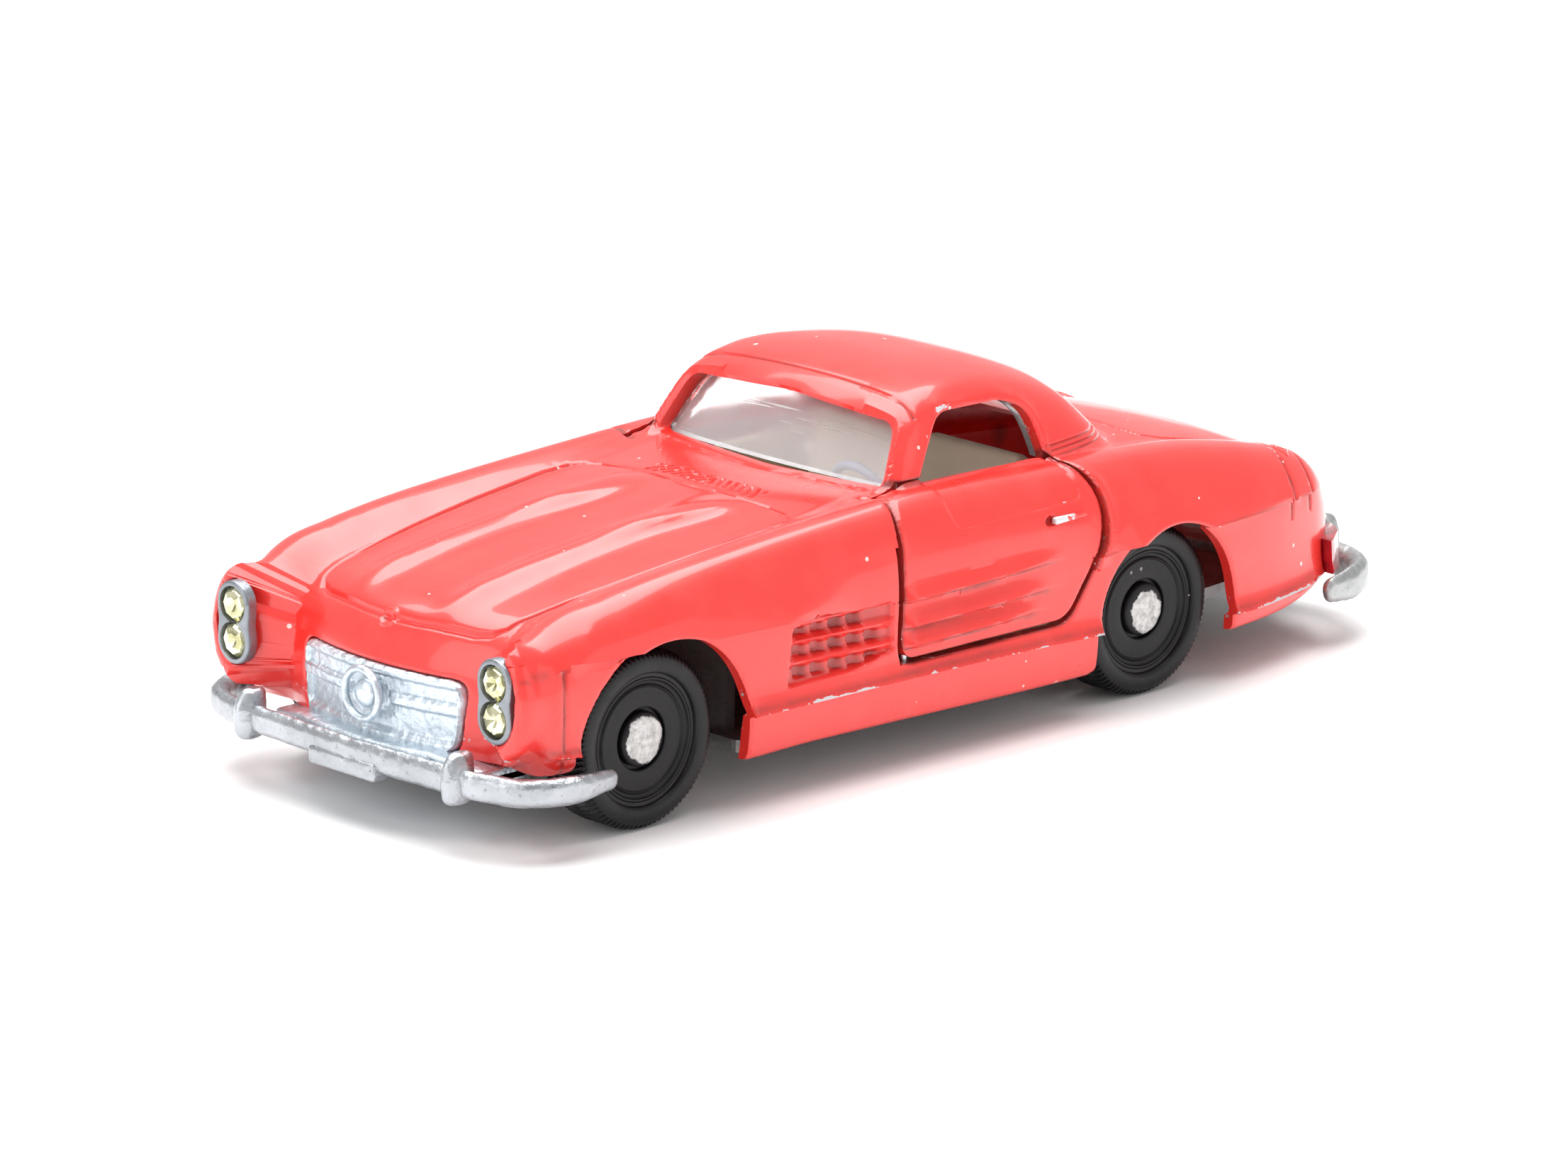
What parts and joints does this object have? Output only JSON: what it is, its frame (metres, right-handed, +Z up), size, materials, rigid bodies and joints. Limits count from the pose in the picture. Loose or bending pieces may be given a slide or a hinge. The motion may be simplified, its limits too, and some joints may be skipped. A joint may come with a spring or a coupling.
{
  "type": "diecast model car",
  "caption": "Small-scale diecast two-seat sports roadster with hard top, opening doors, free-rolling wheels, jewelled headlamps and cast bumpers.",
  "frame": {"origin": "middle of the outer box in plan, on the ground under the tyres", "axes": "-X towards the nose, +X towards the tail, +Y towards the car's right side, +Z up"},
  "size_m": [0.1037, 0.0406, 0.0288],
  "materials": {
    "paint": "glossy red enamel over zinc casting, chipped on its edges",
    "bright_casting": "rough bright-plated zinc casting",
    "dark_casting": "bare grey casting",
    "steel": "drawn steel",
    "jewel": "faceted pale yellow jewel",
    "red_lens": "clear red plastic",
    "clear": "clear moulded plastic, lightly scratched",
    "trim": "beige plastic",
    "dash": "blue-grey plastic",
    "hub": "black plastic with a silver-painted centre",
    "tyre": "black treaded rubber"
  },
  "bodies": {
    "car": {"body_shell": "paint", "door_hinge_pin_left": "steel", "door_hinge_pin_right": "steel", "base_plate": "dark_casting", "front_bumper_grille": "bright_casting", "rear_bumper": "bright_casting", "headlight_bezel_left": "dark_casting", "headlight_bezel_right": "dark_casting", "headlight_jewel_upper_left": "jewel", "headlight_jewel_upper_right": "jewel", "headlight_jewel_lower_left": "jewel", "headlight_jewel_lower_right": "jewel", "tail_light_left": "red_lens", "tail_light_right": "red_lens", "glazing": "clear", "interior_tub": "trim", "dashboard": "dash", "steering_wheel": "dash", "base_rivet_front": "bright_casting", "base_rivet_rear": "bright_casting"},
    "left_door": {"door_left": "paint"},
    "right_door": {"door_right": "paint"},
    "front_wheelset": {"axle_front": "steel", "wheel_hub_front_left": "hub", "wheel_hub_front_right": "hub", "tyre_front_left": "tyre", "tyre_front_right": "tyre"},
    "rear_wheelset": {"axle_rear": "steel", "wheel_hub_rear_left": "hub", "wheel_hub_rear_right": "hub", "tyre_rear_left": "tyre", "tyre_rear_right": "tyre"}
  },
  "joints": [
    {"name": "door_left_hinge", "type": "hinge", "parent": "car", "child": "left_door", "pos_m": [-0.0088, -0.0184, 0.0125], "axis": [0, 0, 1], "range_deg": [-60, 0]},
    {"name": "door_right_hinge", "type": "hinge", "parent": "car", "child": "right_door", "pos_m": [-0.0088, 0.0184, 0.0125], "axis": [0, 0, 1], "range_deg": [0, 60]},
    {"name": "front_wheelset_spin", "type": "hinge", "parent": "car", "child": "front_wheelset", "pos_m": [-0.03548, 0, 0.00717], "axis": [0, 1, 0], "continuous": true},
    {"name": "rear_wheelset_spin", "type": "hinge", "parent": "car", "child": "rear_wheelset", "pos_m": [0.02032, 0, 0.00717], "axis": [0, 1, 0], "continuous": true}
  ]
}
